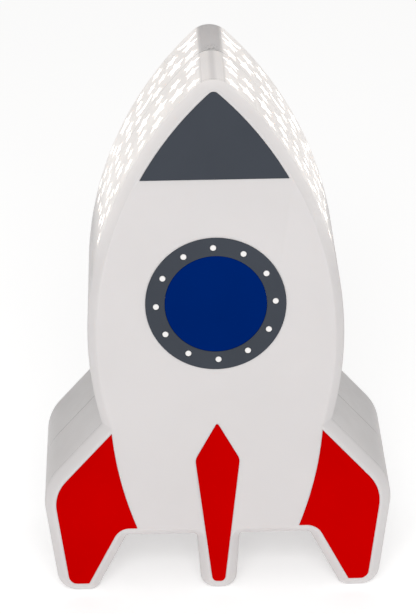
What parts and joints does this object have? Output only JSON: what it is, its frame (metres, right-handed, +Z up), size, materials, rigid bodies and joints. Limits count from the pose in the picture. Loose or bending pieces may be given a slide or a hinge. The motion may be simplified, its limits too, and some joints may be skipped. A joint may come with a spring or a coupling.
{
  "type": "rocket night light",
  "caption": "Free-standing rocket-shaped battery night light: hollow two-part moulded shell with star and moon cut-outs, coloured inlays, round porthole, rear battery door and slide switch.",
  "frame": {"origin": "bottom centre of the bounding box, on the surface the light stands on", "axes": "+Z up to the nose tip, face with the porthole towards -Y, +X to the right seen from the front"},
  "size_m": [0.1706, 0.0986, 0.2659],
  "materials": {
    "white_shell": "fine satin moulded surface",
    "slate_inlay": "satin",
    "navy_window": "satin",
    "red_inlay": "satin",
    "steel": "plated",
    "cell_label": "printed sleeve over a metal can",
    "board": "solder mask",
    "lens": "frosted, lit",
    "black_plastic": "satin",
    "wire_black": "insulation",
    "wire_red": "insulation"
  },
  "bodies": {
    "housing": {"front_shell": "white_shell", "rear_shell": "white_shell", "nose_panel": "slate_inlay", "fin_panel_left": "red_inlay", "fin_panel_right": "red_inlay", "fin_panel_centre": "red_inlay", "porthole_ring": "slate_inlay", "porthole_window": "navy_window", "ring_rivet_1": "white_shell", "ring_rivet_2": "white_shell", "ring_rivet_3": "white_shell", "ring_rivet_4": "white_shell", "ring_rivet_5": "white_shell", "ring_rivet_6": "white_shell", "ring_rivet_7": "white_shell", "ring_rivet_8": "white_shell", "ring_rivet_9": "white_shell", "ring_rivet_10": "white_shell", "ring_rivet_11": "white_shell", "ring_rivet_12": "white_shell", "shell_screw_nose": "steel", "shell_screw_left": "steel", "shell_screw_right": "steel", "shell_screw_left_foot": "steel", "shell_screw_right_foot": "steel", "shell_screw_centre_leg": "steel", "battery_1": "cell_label", "battery_2": "cell_label", "battery_3": "cell_label", "contact_plate_negative": "steel", "contact_plate_link_upper": "steel", "contact_plate_link_lower": "steel", "contact_plate_positive": "steel", "contact_spring_1": "steel", "contact_spring_2": "steel", "contact_spring_3": "steel", "lamp_board": "board", "board_screw_left": "steel", "board_screw_right": "steel", "led_1": "lens", "led_2": "lens", "led_3": "lens", "lamp_diffuser": "lens", "switch_body": "black_plastic", "wire_negative": "wire_black", "wire_positive": "wire_red", "wire_switched": "wire_red"},
    "battery_door": {"battery_door": "white_shell"},
    "door_screw": {"battery_door_screw": "steel"},
    "switch_knob": {"switch_knob": "black_plastic"}
  },
  "joints": [
    {"name": "battery_door_hinge", "type": "hinge", "parent": "housing", "child": "battery_door", "pos_m": [0, 0.049, 0.116], "axis": [1, 0, 0], "range_deg": [0, 70]},
    {"name": "door_screw_turn", "type": "hinge", "parent": "battery_door", "child": "door_screw", "pos_m": [0, 0.049, 0.0466], "axis": [0, 1, 0], "continuous": true},
    {"name": "switch_slide", "type": "slide", "parent": "housing", "child": "switch_knob", "axis": [1, 0, 0], "range_m": [0, 0.004]}
  ]
}
